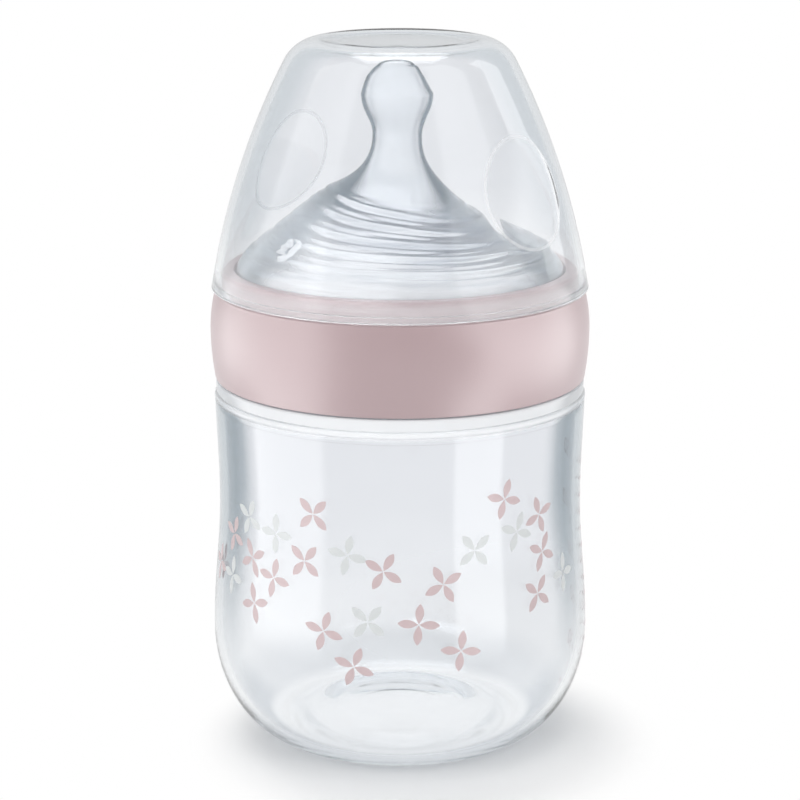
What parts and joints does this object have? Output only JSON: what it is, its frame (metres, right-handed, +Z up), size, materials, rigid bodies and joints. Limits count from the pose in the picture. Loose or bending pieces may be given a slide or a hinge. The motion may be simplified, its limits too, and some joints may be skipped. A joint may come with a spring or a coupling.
{
  "type": "baby bottle",
  "caption": "Wide-neck baby bottle: clear waisted bottle, screw ring, silicone teat and clear domed cap.",
  "frame": {"origin": "centre of the foot, on the surface that the bottle stands on", "axes": "+Z up along the bottle's axis; the printed front faces -Y"},
  "size_m": [0.0688, 0.0688, 0.1277],
  "materials": {
    "clear_bottle": "clear blown polypropylene, gloss, slightly blue-grey at its edges",
    "pink_ring": "dusty pink moulded polypropylene, satin",
    "clear_silicone": "clear soft silicone with fine moulded ridges",
    "clear_cap": "thin clear moulded plastic, high gloss",
    "pink_print": "dusty pink printed ink of the blossoms and the scale",
    "pale_print": "pale grey-white printed ink of the blossoms"
  },
  "bodies": {
    "bottle": {"bottle_body": "clear_bottle"},
    "teat": {"teat": "clear_silicone"},
    "ring": {"screw_ring": "pink_ring"},
    "cap": {"protective_cap": "clear_cap"}
  },
  "joints": [
    {"name": "teat_rise", "type": "slide", "parent": "bottle", "child": "teat", "axis": [0, 0, 1], "range_m": [0, 0.0057]},
    {"name": "ring_unscrew", "type": "hinge", "parent": "teat", "child": "ring", "pos_m": [0, 0, 0.075], "axis": [0, 0, 1], "range_deg": [0, 450]},
    {"name": "cap_lift", "type": "slide", "parent": "ring", "child": "cap", "axis": [0, 0, 1], "range_m": [0, 0.065]}
  ],
  "couplings": [
    {"joint": "teat_rise", "follows": "ring_unscrew", "m_per_rad": 0.0007162}
  ]
}
